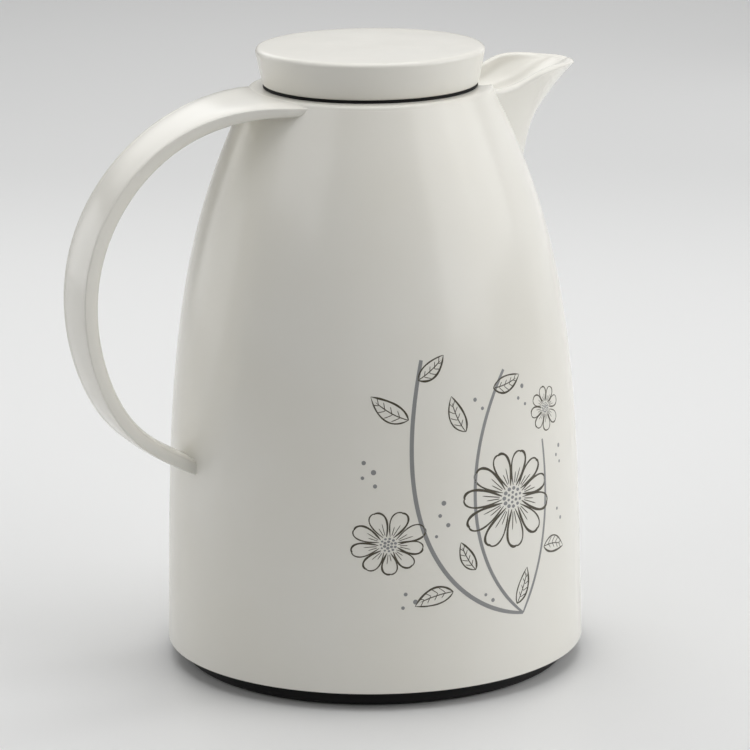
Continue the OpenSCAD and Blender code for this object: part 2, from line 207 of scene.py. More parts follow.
def thread_lug(name, root, crest, z0, a0, span, lead, w_root, w_crest, n=80):
    """A rounded trapezium swept along a helix."""
    rings = []
    s = 1 if crest > root else -1
    for i in range(n + 1):
        a = math.radians(a0 + span * i / n)
        z = z0 + lead * span * i / n / 360
        f = min(1, 0.2 + i / 7, 0.2 + (n - i) / 7)
        f = math.sin(f * math.pi / 2)
        rc = root + (crest - root) * f
        r1 = rc - s * 0.35
        sec = [(root, -w_root / 2), (r1, -w_crest / 2 - 0.12), (rc - s * 0.1, -w_crest / 2 + 0.1), (rc, -w_crest / 2 + 0.4),
               (rc, w_crest / 2 - 0.4), (rc - s * 0.1, w_crest / 2 - 0.1), (r1, w_crest / 2 + 0.12), (root, w_root / 2)]
        rings.append([(r * math.cos(a), r * math.sin(a), z + h) for r, h in sec])
    return grid_solid(name, rings)


# ---------------------------------------------------------------- material kit
def nodes_of(name):
    m = bpy.data.materials.new(name)
    m.use_nodes = True
    nt = m.node_tree
    return m, nt, nt.nodes["Principled BSDF"]


def add(nt, kind, **inputs):
    n = nt.nodes.new(kind)
    for k, v in inputs.items():
        if k in n.inputs:
            n.inputs[k].default_value = v
        else:
            setattr(n, k, v)
    return n


def mixrgb(nt, fac, a, b):
    n = nt.nodes.new("ShaderNodeMix")
    n.data_type = "RGBA"
    n.inputs["Factor"].default_value = fac if isinstance(fac, float) else 0.5
    for s, v in ((6, a), (7, b)):
        if isinstance(v, tuple):
            n.inputs[s].default_value = v
        else:
            nt.links.new(v, n.inputs[s])
    if not isinstance(fac, float):
        nt.links.new(fac, n.inputs["Factor"])
    return n.outputs[2]


def plastic(name, base, tint, rough, rough_var=0.05, grain=900.0, grain_h=0.015, flow=0.35, coat=0.0, wear=(0.0, None), ior=1.46, spec=0.5):
    """Moulded plastic: faint colour drift, flow marks, fine surface texture, worn edges."""
    m, nt, b = nodes_of(name)
    tc = add(nt, "ShaderNodeTexCoord")
    big = add(nt, "ShaderNodeTexNoise", Scale=14.0, Detail=3.0, Roughness=0.5)
    fine = add(nt, "ShaderNodeTexNoise", Scale=grain, Detail=2.0, Roughness=0.6)
    mid = add(nt, "ShaderNodeTexNoise", Scale=60.0, Detail=4.0, Roughness=0.55)
    for n in (big, fine, mid):
        nt.links.new(tc.outputs["Object"], n.inputs["Vector"])
    ramp = add(nt, "ShaderNodeMapRange")
    ramp.inputs["From Min"].default_value = 0.35
    ramp.inputs["From Max"].default_value = 0.65
    nt.links.new(big.outputs["Fac"], ramp.inputs["Value"])
    col = mixrgb(nt, ramp.outputs["Result"], base, tint)
    if wear[0] > 0:
        geo = add(nt, "ShaderNodeNewGeometry")
        edge = add(nt, "ShaderNodeMapRange")
        edge.inputs["From Min"].default_value = 0.53
        edge.inputs["From Max"].default_value = 0.62
        edge.inputs["To Max"].default_value = wear[0]
        nt.links.new(geo.outputs["Pointiness"], edge.inputs["Value"])
        col = mixrgb(nt, edge.outputs["Result"], col, wear[1])
    nt.links.new(col, b.inputs["Base Color"])
    rr = add(nt, "ShaderNodeMapRange")
    rr.inputs["From Min"].default_value = 0.3
    rr.inputs["From Max"].default_value = 0.7
    rr.inputs["To Min"].default_value = rough - rough_var
    rr.inputs["To Max"].default_value = rough + rough_var
    nt.links.new(mid.outputs["Fac"], rr.inputs["Value"])
    nt.links.new(rr.outputs["Result"], b.inputs["Roughness"])
    b1 = add(nt, "ShaderNodeBump", Strength=flow, Distance=0.00002)
    nt.links.new(big.outputs["Fac"], b1.inputs["Height"])
    b2 = add(nt, "ShaderNodeBump", Strength=1.0, Distance=grain_h * MM)
    nt.links.new(fine.outputs["Fac"], b2.inputs["Height"])
    nt.links.new(b1.outputs["Normal"], b2.inputs["Normal"])
    nt.links.new(b2.outputs["Normal"], b.inputs["Normal"])
    b.inputs["IOR"].default_value = ior
    b.inputs["Coat Weight"].default_value = coat
    b.inputs["Coat Roughness"].default_value = 0.10
    b.inputs["Specular IOR Level"].default_value = spec
    return m


WHITE = plastic("white_gloss_plastic", (0.825, 0.805, 0.737, 1), (0.848, 0.833, 0.777, 1), 0.21, 0.025,
                grain=1500.0, grain_h=0.0004, flow=0.5, coat=0.0, wear=(0.35, (0.90, 0.89, 0.87, 1)))
BLACK = plastic("black_satin_plastic", (0.005, 0.005, 0.0055, 1), (0.008, 0.008, 0.008, 1), 0.48, 0.08,
                grain=2200.0, grain_h=0.006, flow=0.3, wear=(0.25, (0.03, 0.03, 0.03, 1)), spec=0.3)
STOPPER = plastic("black_stopper_plastic", (0.016, 0.016, 0.017, 1), (0.022, 0.022, 0.022, 1), 0.33, 0.07,
                  grain=2600.0, grain_h=0.004, flow=0.3, wear=(0.4, (0.07, 0.07, 0.07, 1)))
INNER = plastic("white_satin_plastic", (0.72, 0.71, 0.68, 1), (0.78, 0.77, 0.75, 1), 0.42, 0.06,
                grain=1800.0, grain_h=0.006, wear=(0.3, (0.86, 0.85, 0.83, 1)))


def rubber(name, base, tint, rough=0.62, speck=1900.0, sheen=0.05, trans=0.0, spec=0.5):
    m, nt, b = nodes_of(name)
    tc = add(nt, "ShaderNodeTexCoord")
    n1 = add(nt, "ShaderNodeTexNoise", Scale=45.0, Detail=5.0, Roughness=0.6)
    n2 = add(nt, "ShaderNodeTexNoise", Scale=speck, Detail=3.0, Roughness=0.7)
    for n in (n1, n2):
        nt.links.new(tc.outputs["Object"], n.inputs["Vector"])
    nt.links.new(mixrgb(nt, n1.outputs["Fac"], base, tint), b.inputs["Base Color"])
    rr = add(nt, "ShaderNodeMapRange")
    rr.inputs["To Min"].default_value = rough - 0.08
    rr.inputs["To Max"].default_value = rough + 0.08
    nt.links.new(n1.outputs["Fac"], rr.inputs["Value"])
    nt.links.new(rr.outputs["Result"], b.inputs["Roughness"])
    bu = add(nt, "ShaderNodeBump", Strength=0.6, Distance=0.00001)
    nt.links.new(n2.outputs["Fac"], bu.inputs["Height"])
    nt.links.new(bu.outputs["Normal"], b.inputs["Normal"])
    b.inputs["Sheen Weight"].default_value = sheen
    b.inputs["Specular IOR Level"].default_value = spec
    b.inputs["Transmission Weight"].default_value = trans
    return m


# Near-black rubber for the seals; on the ring under the lid its very dark tone is painted shade for the shadowed gap
# between lid and rim.
SEAL_RUBBER_AND_GAP_SHADE = rubber("black_rubber_and_gap_shade", (0.004, 0.004, 0.004, 1), (0.007, 0.007, 0.007, 1), 0.66, 1900.0, 0.0, spec=0.22)
FOOT_RUBBER = rubber("foot_rubber", (0.010, 0.010, 0.010, 1), (0.018, 0.018, 0.017, 1), 0.7)
SILICONE = rubber("milky_silicone", (0.70, 0.71, 0.69, 1), (0.76, 0.77, 0.76, 1), 0.38, 1200.0, 0.0, 0.15)
CUSHION = rubber("dark_cushion_rubber", (0.035, 0.035, 0.035, 1), (0.06, 0.06, 0.058, 1), 0.75)


def silver_glass():
    m, nt, b = nodes_of("silvered_glass")
    tc = add(nt, "ShaderNodeTexCoord")
    n1 = add(nt, "ShaderNodeTexNoise", Scale=22.0, Detail=3.0, Roughness=0.5)
    n2 = add(nt, "ShaderNodeTexNoise", Scale=160.0, Detail=4.0, Roughness=0.6)
    for n in (n1, n2):
        nt.links.new(tc.outputs["Object"], n.inputs["Vector"])
    nt.links.new(mixrgb(nt, n1.outputs["Fac"], (0.80, 0.80, 0.79, 1), (0.87, 0.86, 0.84, 1)), b.inputs["Base Color"])
    rr = add(nt, "ShaderNodeMapRange")
    rr.inputs["To Min"].default_value = 0.03
    rr.inputs["To Max"].default_value = 0.10
    nt.links.new(n2.outputs["Fac"], rr.inputs["Value"])
    nt.links.new(rr.outputs["Result"], b.inputs["Roughness"])
    bu = add(nt, "ShaderNodeBump", Strength=0.5, Distance=0.0002)
    nt.links.new(n1.outputs["Fac"], bu.inputs["Height"])
    nt.links.new(bu.outputs["Normal"], b.inputs["Normal"])
    b.inputs["Metallic"].default_value = 0.9
    b.inputs["Coat Weight"].default_value = 1.0
    b.inputs["Coat Roughness"].default_value = 0.02
    return m


SILVER = silver_glass()


def foam(name, base, tint):
    m, nt, b = nodes_of(name)
    tc = add(nt, "ShaderNodeTexCoord")
    v = add(nt, "ShaderNodeTexVoronoi", Scale=900.0)
    n1 = add(nt, "ShaderNodeTexNoise", Scale=70.0, Detail=4.0)
    for n in (v, n1):
        nt.links.new(tc.outputs["Object"], n.inputs["Vector"])
    nt.links.new(mixrgb(nt, n1.outputs["Fac"], base, tint), b.inputs["Base Color"])
    bu = add(nt, "ShaderNodeBump", Strength=0.8, Distance=0.0002)
    nt.links.new(v.outputs["Distance"], bu.inputs["Height"])
    nt.links.new(bu.outputs["Normal"], b.inputs["Normal"])
    b.inputs["Roughness"].default_value = 0.9
    return m


FOAM = foam("pale_foam", (0.75, 0.68, 0.48, 1), (0.82, 0.76, 0.58, 1))
FIBRE = foam("mineral_fibre", (0.50, 0.46, 0.38, 1), (0.60, 0.56, 0.48, 1))


def steel():
    m, nt, b = nodes_of("zinc_steel")
    tc = add(nt, "ShaderNodeTexCoord")
    mp = add(nt, "ShaderNodeMapping")
    mp.inputs["Scale"].default_value = (1, 8, 8)
    n1 = add(nt, "ShaderNodeTexNoise", Scale=500.0, Detail=4.0)
    nt.links.new(tc.outputs["Object"], mp.inputs["Vector"])
    nt.links.new(mp.outputs["Vector"], n1.inputs["Vector"])
    nt.links.new(mixrgb(nt, n1.outputs["Fac"], (0.48, 0.48, 0.47, 1), (0.62, 0.62, 0.60, 1)), b.inputs["Base Color"])
    rr = add(nt, "ShaderNodeMapRange")
    rr.inputs["To Min"].default_value = 0.25
    rr.inputs["To Max"].default_value = 0.42
    nt.links.new(n1.outputs["Fac"], rr.inputs["Value"])
    nt.links.new(rr.outputs["Result"], b.inputs["Roughness"])
    b.inputs["Metallic"].default_value = 1.0
    return m


STEEL = steel()


def finish_piece(o, mat, body, *nodes, slot=None):
    o.data.materials.clear()
    o.data.materials.append(mat)
    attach(o, body)
    if nodes:
        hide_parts(*nodes)
    return o


# ---------------------------------------------------------------- shell
WALL = 2.4
SEGS = 384
WIN = 26                # window half-width in grid steps
WIN_Z = 204.8


def build_shell():
    ts = np.linspace(0, 1, 3000)
    z_of = lambda t: bez(BELL, t)[:, 1]
    zs = np.concatenate([np.linspace(7.6, WIN_Z, 150), np.linspace(WIN_Z, SEAT_Z - 0.35, 10)[1:]])
    outer = [(77.55, 6.5), (77.72, 6.53), (77.86, 6.62), (77.93, 6.76), (bell_r(6.95), 6.95), (bell_r(7.2), 7.2)]
    outer += [(float(bell_r(z)), float(z)) for z in zs]
    outer += [(float(bell_r(SEAT_Z - 0.12)), SEAT_Z - 0.12), (float(bell_r(SEAT_Z)) - 0.05, SEAT_Z)]
    inner = [(float(bell_r(SEAT_Z)) - WALL + 0.2, SEAT_Z), (float(bell_r(SEAT_Z)) - WALL, SEAT_Z - 0.2)]
    iz = np.concatenate([np.linspace(WIN_Z, SEAT_Z - 0.4, 5)[::-1], np.linspace(7.4, WIN_Z, 50)[::-1][1:]])
    inner += [(float(bell_r(z)) - WALL, float(z)) for z in iz]
    inner += [(75.6, 6.9), (75.8, 6.56), (76.1, 6.5)]
    prof = outer + inner
    n, m = len(prof), SEGS
    th = (np.arange(m)) * 2 * math.pi / m
    verts = [(r * math.cos(a), r * math.sin(a), z) for r, z in prof for a in th]

    def in_win(i, k):
        z0, z1 = prof[i][1], prof[(i + 1) % n][1]
        kk = k if k < m / 2 else k - m
        return min(z0, z1) >= WIN_Z - 1e-6 and -WIN <= kk < WIN

    faces = [(i * m + k, i * m + (k + 1) % m, ((i + 1) % n) * m + (k + 1) % m, ((i + 1) % n) * m + k)
             for i in range(n) for k in range(m) if not in_win(i, k)]
    # jambs and sill of the window
    io = [i for i in range(n) if prof[i][1] >= WIN_Z - 1e-6]
    for k in (WIN, (m - WIN) % m):
        faces.append([i * m + k for i in io])
    a, b = io[0], io[-1]
    for kk in range(-WIN, WIN):
        k, k2 = kk % m, (kk + 1) % m
        faces.append((a * m + k, b * m + k, b * m + k2, a * m + k2))
    return mesh_obj("shell", verts, faces)


shell = build_shell()
finish_piece(shell, WHITE, ROOT, "outer_shell", slot="shell_plastic")

# ---------------------------------------------------------------- printed sprays on the front
def ink(name, base, tint, rough):
    m, nt, b = nodes_of(name)
    tc = add(nt, "ShaderNodeTexCoord")
    n1 = add(nt, "ShaderNodeTexNoise", Scale=160.0, Detail=4.0, Roughness=0.6)
    n2 = add(nt, "ShaderNodeTexNoise", Scale=2400.0, Detail=2.0, Roughness=0.6)
    for n in (n1, n2):
        nt.links.new(tc.outputs["Object"], n.inputs["Vector"])
    nt.links.new(mixrgb(nt, n1.outputs["Fac"], base, tint), b.inputs["Base Color"])
    rr = add(nt, "ShaderNodeMapRange")
    rr.inputs["To Min"].default_value = rough - 0.06
    rr.inputs["To Max"].default_value = rough + 0.06
    nt.links.new(n1.outputs["Fac"], rr.inputs["Value"])
    nt.links.new(rr.outputs["Result"], b.inputs["Roughness"])
    bu = add(nt, "ShaderNodeBump", Strength=0.4, Distance=0.000004)
    nt.links.new(n2.outputs["Fac"], bu.inputs["Height"])
    nt.links.new(bu.outputs["Normal"], b.inputs["Normal"])
    return m


INK_DARK = ink("olive_print", (0.045, 0.038, 0.022, 1), (0.095, 0.082, 0.052, 1), 0.34)
INK_GREY = ink("grey_print", (0.235, 0.238, 0.240, 1), (0.30, 0.302, 0.300, 1), 0.36)

PRINT_A0 = math.radians(-124.5)       # where u = 0 lies round the body
INK_T = 0.035                       # how far the ink stands proud


def on_body(u, v, lift):
    """Print coordinates (mm across, mm up) laid on the shell."""
    a = PRINT_A0 + u / 76.0
    r = float(bell_r(v)) + lift
    return (r * math.cos(a), r * math.sin(a), v)


class Ink:
    def __init__(self):
        self.v, self.f, self.k = [], [], 0

    def line(self, pts, width, taper=(0.25, 0.25), n=None, wob=0.0):
        """A brush line through control points of one Bezier curve, thinner towards its ends."""
        pts = np.asarray(pts, float)
        size = float(np.abs(np.diff(pts, axis=0)).sum())
        n = n or max(8, int(size / 0.7))
        t = np.linspace(0, 1, n + 1)
        c = bez(pts, t)
        self.path(c, width, taper, wob)

    def path(self, c, width, taper=(0.25, 0.25), wob=0.0):
        c = np.asarray(c, float)
        d = np.gradient(c, axis=0)
        d /= np.linalg.norm(d, axis=1)[:, None] + 1e-9
        q = np.stack([-d[:, 1], d[:, 0]], 1)
        t = np.linspace(0, 1, len(c))
        prof = np.minimum(np.clip(t / 0.18, 0, 1), np.clip((1 - t) / 0.18, 0, 1))
        ends = np.where(t < 0.5, taper[0], taper[1])
        w = width * (ends + (1 - ends) * np.sin(prof * math.pi / 2)) * (1 + wob * np.sin(t * 17 + self.k))
        self.k += 1
        top = INK_T + 0.0012 * (self.k % 9)
        base = len(self.v)
        for p, n_, ww in zip(c, q, w):
            for s, lift in ((1, top), (-1, top), (-1, -0.05), (1, -0.05)):
                self.v.append(on_body(*(p + n_ * s * ww / 2), lift))
        m = len(c)
        for i in range(m - 1):
            for j in range(4):
                self.f.append((base + i * 4 + j, base + i * 4 + (j + 1) % 4, base + (i + 1) * 4 + (j + 1) % 4, base + (i + 1) * 4 + j))
        self.f.append((base + 3, base + 2, base + 1, base))
        e = base + (m - 1) * 4
        self.f.append((e, e + 1, e + 2, e + 3))

    def dot(self, u, v, d, squash=1.0):
        self.k += 1
        top = INK_T + 0.0012 * (self.k % 9)
        base, m = len(self.v), 18
        for lift in (top, -0.05):
            for i in range(m):
                a = 2 * math.pi * i / m
                self.v.append(on_body(u + d / 2 * math.cos(a), v + d / 2 * math.sin(a) * squash, lift))
        self.f += [tuple(base + i for i in range(m)), tuple(base + m + i for i in range(m - 1, -1, -1))]
        self.f += [(base + i, base + m + i, base + m + (i + 1) % m, base + (i + 1) % m) for i in range(m)]

    def finish(self, name, mat):
        o = mesh_obj(name, self.v, self.f)
        o.data.polygons.foreach_set("use_smooth", [False] * len(o.data.polygons))
        return finish_piece(o, mat, ROOT)


def wave(i, k):
    """A small steady irregularity in -1 ... 1."""
    return math.sin(12.9898 * i + 78.233 * k)


def daisy(dark, grey, u, v, r, petals, turn, tilt=0.86, seed=0):
    """An open flower of round-ended petals about a disc of dots."""
    hub = 0.24 * r
    step = 2 * math.pi / petals

    def place(rad, a):
        return np.array([u + rad * math.cos(a), v + rad * math.sin(a) * tilt])

    for i in range(petals):
        a = turn + i * step + 0.10 * wave(i, seed) * step
        long = r * (0.93 + 0.07 * wave(i, seed + 3))
        half = step * 0.46
        left = [place(hub, a - half * 0.55), place(0.55 * long, a - half * 1.05), place(0.98 * long, a - half * 1.25), place(1.06 * long, a - half * 0.25), place(long * 0.99, a + half * 0.05)]
        right = [place(hub, a + half * 0.55), place(0.55 * long, a + half * 1.05), place(0.98 * long, a + half * 1.25), place(1.06 * long, a + half * 0.25), place(long * 0.99, a - half * 0.05)]
        wd = 0.030 * r + 0.10
        dark.line(left, wd * 1.25, (0.3, 0.7), wob=0.12)
        dark.line(right, wd * 0.85, (0.3, 0.7), wob=0.12)
        for s, reach in ((-0.22, 0.66), (0.2, 0.56)):
            dark.line([place(hub * 1.2, a + s * half), place(0.5 * reach * long + 0.5 * hub, a + s * half * 1.25), place(reach * long, a + s * half * 1.5)], wd * 0.45, (0.6, 0.2))
    n = 0
    for ring, cnt in ((0.0, 1), (0.42, 6), (0.8, 11)):
        for i in range(cnt):
            a = 2 * math.pi * i / cnt + ring
            p = place(hub * ring * 0.95, a)
            n += 1
            grey.dot(p[0], p[1], (0.062 + 0.014 * wave(n, seed)) * r + 0.1, tilt)


def leaf(dark, u, v, length, ang, fat=0.30, bend=0.12, veins=4):
    """An almond leaf: two edges, a midrib and a few side veins. It starts at (u, v) and points along ang degrees."""
    c, s = math.cos(math.radians(ang)), math.sin(math.radians(ang))

    def place(x, y):
        y = y + bend * length * math.sin(math.pi * x / length)
        return np.array([u + x * c - y * s, v + x * s + y * c])

    w = fat * length
    tip = length * 1.02
    up = [place(0, 0), place(0.22 * length, w * 1.0), place(0.62 * length, w * 0.95), place(tip, 0)]
    dn = [place(0, 0), place(0.22 * length, -w * 1.0), place(0.62 * length, -w * 0.85), place(tip, 0)]
    dark.line(up, 0.52, (0.4, 0.2), wob=0.1)
    dark.line(dn, 0.72, (0.4, 0.2), wob=0.1)
    dark.line([place(0.02 * length, 0), place(0.4 * length, 0.015 * length), place(0.86 * length, 0)], 0.36, (0.8, 0.2))
    for i in range(veins):
        x = length * (0.2 + 0.56 * i / max(1, veins - 1))
        reach = w * 0.5 * math.sin(math.pi * min(1, 0.25 + x / length * 0.7))
        for sgn in (1, -1):
            dark.line([place(x, 0), place(x + 0.07 * length, sgn * reach * 0.6), place(x + 0.13 * length, sgn * reach)], 0.27, (0.7, 0.2), n=6)


def build_print():
    dark, grey = Ink(), Ink()
    # three arching stems out of one foot, low on the right
    grey.line([(71, 30), (50, 34), (27, 48), (20, 84), (31, 128)], 1.55, (0.65, 0.9), n=120)
    grey.line([(71, 30), (56, 42), (45, 62), (46, 96), (66, 121)], 1.3, (0.6, 0.85), n=110)
    grey.line([(71, 30), (80, 44), (88, 60), (85, 92)], 1.1, (0.6, 0.8), n=80)
    daisy(dark, grey, 67, 74, 21.5, 11, 0.2, seed=1)
    daisy(dark, grey, 17.5, 62, 14.5, 9, 0.5, seed=2)
    daisy(dark, grey, 88.5, 103, 10.5, 8, 0.1, seed=5)
    # leaves along the stems
    leaf(dark, 25.5, 107, 16, 148, bend=0.10)
    leaf(dark, 29.5, 121, 13, 38, bend=-0.10)
    leaf(dark, 47.5, 101, 14, 112, bend=0.10)
    leaf(dark, 60.5, 115, 13.5, 12, bend=-0.10)
    leaf(dark, 41, 43, 14.5, 196, bend=-0.12)
    leaf(dark, 50, 50, 12, 118, bend=0.08)
    leaf(dark, 83.5, 52, 14, -12, bend=0.12)
    leaf(dark, 68, 34, 13.5, 66, fat=0.26, bend=-0.10)
    # berries
    for u, v, d in ((9, 92, 1.6), (12.5, 88.5, 1.9), (8.5, 86.5, 1.3), (13, 83.5, 1.5), (38, 76, 1.8), (36.5, 71.5, 1.4), (39.5, 67.8, 1.6),
                    (35, 64, 1.2), (52, 112, 1.5), (55, 108.5, 1.3), (75, 113.5, 1.7), (72.5, 109.5, 1.3), (76, 106.8, 1.2), (97, 87, 1.6), (94.5, 84, 1.3),
                    (97, 81, 1.2), (27, 40.5, 1.8), (23.5, 43.5, 1.4), (22.5, 38.5, 1.3), (57, 37.5, 1.5), (54, 40, 1.2), (96, 60, 1.4), (93.5, 64, 1.2)):
        grey.dot(u, v, d)
    dark.finish("print_olive", INK_DARK)
    grey.finish("print_grey", INK_GREY)


build_print()

# ---------------------------------------------------------------- collar and spout
REACH = 83.5
LIP = [[37.5, 23.4, 212.15], [60.1, 17.95, 210.1], [57.5, 22.4, 224], [67.2, 27, 216.35], [REACH, 6.3, 219.85], [REACH, 0, 216.45]]
KEEL = [[61.7, 0, 170], [63.9, 0, 196.2], [57.1, 0, 190.1], [REACH - 3.4, 0, 215.2]]
R_ROOT = np.array([0.36, 0.86, 0.28, 0.78, 0.36, 0.6])
R_MID = np.array([0.208, 0.75, 0.121, 1, 0.3, 1])


def lip(u):
    return bez(LIP, u)[0]


def lip_in(u):
    d = lip(min(1, u + 0.005)) - lip(max(0, u - 0.005))
    d = d / np.linalg.norm(d)
    n = np.array([d[1], -d[0], 0])
    return n / np.linalg.norm(n)


def spout_side(u, ribs=30):
    a, k, n = lip(u), bez(KEEL, u)[0], lip_in(u)
    r = R_ROOT + (R_MID - R_ROOT) * float(smooth01(u / 0.35))
    p1 = [a[0] + (k[0] - a[0]) * r[0], a[1] * r[1], a[2] + (k[2] - a[2]) * r[2]]
    p2 = [a[0] + (k[0] - a[0]) * r[3], a[1] * r[4], a[2] + (k[2] - a[2]) * r[5]]
    c = bez([a, p1, p2, k], np.linspace(0, 1, ribs + 1))
    pts = [c[j] for j in range(ribs, -1, -1)]         # keel ... lip
    g = 1 + 0.7 * float(smooth01((u - 0.72) / 0.26))       # the bead grows fuller at the tip
    for off, h in ((0.3, 0.5), (0.8, 0.85), (1.4, 1.05), (2.1, 1.2), (2.8, 1.15), (3.4, 1.0), (3.9, 0.8)):
        pts.append(a + n * off + np.array([0, 0, h * g]))
    return pts


def build_spout_outer():
    rings = []
    us = np.linspace(0, 0.985, 90)
    for i, u in enumerate(us):
        s = spout_side(float(u))
        ring = s + [np.array([p[0], -p[1], p[2]]) for p in reversed(s[1:])]
        if i == 0:
            rings.append([p - np.array([10, 0, 0]) for p in ring])
        rings.append(ring)
    m = len(rings[0])
    h = (m - 1) // 2
    verts = [p for r in rings for p in r]
    k = len(rings)
    faces = [(i * m + j, i * m + (j + 1) % m, (i + 1) * m + (j + 1) % m, (i + 1) * m + j)
             for i in range(k - 1) for j in range(m)]
    for base in (0, (k - 1) * m):
        faces.append((base, base + 1, base + m - 1))
        for j in range(1, h):
            faces.append((base + j, base + j + 1, base + m - j - 1, base + m - j))
    return mesh_obj("spout_outer", verts, faces)


def channel_z(x):
    return RIM_Z - 9.5 + 13 * max(0, (x - 38) / (REACH - 42)) ** 1.7


def build_channel():
    rings = []

    def ring(x, w, top, f, mm=40):
        soft = float(smooth01((x - 50) / 22))             # square-shouldered at the rim, an open bowl towards the tip
        k = 0.7 + 0.7 * soft
        f = min(f + 2.4 * float(smooth01((x - 60) / 14)), top - 0.25)
        pts = [np.array([x, w, top + 14]), np.array([x, w, top])]
        for j in range(1, mm):
            b = math.pi * j / mm
            c = math.cos(b)
            y = w * (1 if c >= 0 else -1) * abs(c) ** (0.7 + 0.2 * soft)
            pts.append(np.array([x, y, top - (top - f) * math.sin(b) ** k]))
        pts += [np.array([x, -w, top]), np.array([x, -w, top + 14])]
        return pts

    rings.append(ring(24, 14, RIM_Z + 0.2, channel_z(24)))
    rings.append(ring(31, 15.5, RIM_Z + 0.2, channel_z(31)))
    for u in np.linspace(0, 0.985, 70):
        p = lip(float(u)) + lip_in(float(u)) * 4.2 + np.array([0, 0, 0.82 * (1 + 0.7 * float(smooth01((u - 0.72) / 0.26)))])
        w = max(p[1], 0.5)
        rings.append(ring(p[0], w, p[2], min(channel_z(p[0]), p[2] - 0.2)))
    return grid_solid("channel", rings)


VOX = 0.34


def prism(name, yz, x0, x1):
    rings = [[(x, y, z) for y, z in yz] for x in (x0, x1)]
    return grid_solid(name, rings, smooth=False)


def build_collar():
    ring = lathe("collar_ring", rounded([
        (26.8, 188), (32.7, 188), (32.7, 183, 0.3), (36, 183, 0.3), (36, SEAT_Z - 1.6), (float(bell_r(SEAT_Z - 1.6)) - 0.2, SEAT_Z - 1.6),
        (float(bell_r(SEAT_Z - 0.1)) - 0.05, SEAT_Z - 0.1), (float(bell_r(SEAT_Z + 0.1)), SEAT_Z + 0.1), (45.0, RIM_Z), (44.75, RIM_Z + 0.45), (44.2, RIM_Z + 0.8), (43.2, RIM_TOP), (33.0, RIM_TOP, 0.7), (33.0, 190, 0.3), (26.8, 190, 0.4)],
        steps=4), 256)
    spout = build_spout_outer()
    # the body's outside, cut away from the spout
    prof = [(0, 8.0)] + [(float(bell_r(z)) - 0.7, float(z)) for z in np.linspace(8, RIM_Z, 120)] + [(44.05, RIM_Z + 0.45), (43.5, RIM_Z + 0.8), (42.5, RIM_TOP), (0, RIM_TOP)]
    solid = lathe("bell_solid", prof, 256)
    win = prism("win", [(-15, 202), (15, 202), (22, SEAT_Z), (22, RIM_TOP + 2), (-22, RIM_TOP + 2), (-22, SEAT_Z)], 30, 60)
    win2 = prism("win2", [(-15, 202), (15, 202), (22, SEAT_Z), (22, RIM_TOP + 2), (-22, RIM_TOP + 2), (-22, SEAT_Z)], 30, 60)
    boolean(solid, win)
    boolean(spout, solid)
    cyl = lathe("cyl", [(0, 180), (44.5, 180), (44.5, RIM_TOP - 0.05), (0, RIM_TOP - 0.05)], 256)
    boolean(win2, cyl, "INTERSECT")
    ch = build_channel()
    core = lathe("core", [(0, 150), (30, 150), (30, 250), (0, 250)], 128)
    boolean(ch, core)
    bore = lathe("bore", [(0, 190), (33, 190), (33, 240), (0, 240)], 256)
    for o in (ring, spout, win2):
        boolean(o, ch)
    for o in (spout, win2):
        boolean(o, bore)
    body = join("collar", [ring, spout, win2])
    m = body.modifiers.new("r", "REMESH")
    m.mode = "VOXEL"
    m.voxel_size = VOX * MM
    m.use_smooth_shade = True
    apply_mods(body)
    # smooth the voxel steps; the spout's lip is eased much more than the turned ring
    me = body.data
    co = np.empty(len(me.vertices) * 3)
    me.vertices.foreach_get("co", co)
    co = co.reshape(-1, 3) / MM
    r = np.hypot(co[:, 0], co[:, 1])
    lipness = smooth01((r - 46) / 2.5) * smooth01((co[:, 2] - 206) / 3) * (1 - 0.8 * smooth01((co[:, 0] - 73) / 6))
    vg = body.vertex_groups.new(name="ease")
    for lo in range(5):
        sel = np.nonzero((lipness * 4.999).astype(int) == lo)[0]
        vg.add([int(i) for i in sel], 0.18 + 0.82 * lo / 4, "REPLACE")
    s = body.modifiers.new("s", "SMOOTH")
    s.factor = 0.5
    s.iterations = 36
    s.vertex_group = "ease"
    apply_mods(body)
    body.vertex_groups.clear()
    for o in (solid, win, cyl, ch, core, bore):
        drop(o)
    return body


collar = build_collar()
finish_piece(collar, WHITE, ROOT, "pouring_collar", slot="shell_plastic")
for i, a in enumerate((0, 180)):
    lug = thread_lug(f"collar_lug_{i}", 33.5, 31.2, RIM_Z - 15.5, 35 + a, 105, 15, 4.2, 2.6)
    finish_piece(lug, WHITE, ROOT, "pouring_collar", slot="shell_plastic")

# ---------------------------------------------------------------- handle
HANDLE = [[-43.2, 214.4], [-107.8, 216.1], [-119.3, 160.7], [-139.2, 153.4], [-102.8, 96.8], [-118.8, 98.3], [-70.1, 75.1]]
CROWN = 0.5
SIDE_P = 3.6


def strap_at(t):
    if t < 0:
        return np.array([-43.2 - t * 90, RIM_Z + 0.4 + t * 2.4])
    return bez(HANDLE, t)[0]


def strap_frame(t):
    a, b = strap_at(t - 0.002), strap_at(min(t + 0.002, 1))
    d = (b - a) / np.linalg.norm(b - a)
    return strap_at(t), np.array([-d[1], d[0]])


def strap_width(t):
    return 48.9 - t * 50 if t < 0 else 21.5 + 1.8 * (1 - t) ** 4 + 25.6 * (1 - t) ** 14 - 6 * t ** 14


def strap_thick(t):
    return float(bez([[5.63], [9.23], [6.77], [7.27], [5.74]], max(0, t))[0][0])


def side_y(w, t, d):
    return w / 2 * max(0, 1 - max(0, (d - 1) / (t - 1)) ** SIDE_P) ** (1 / SIDE_P)


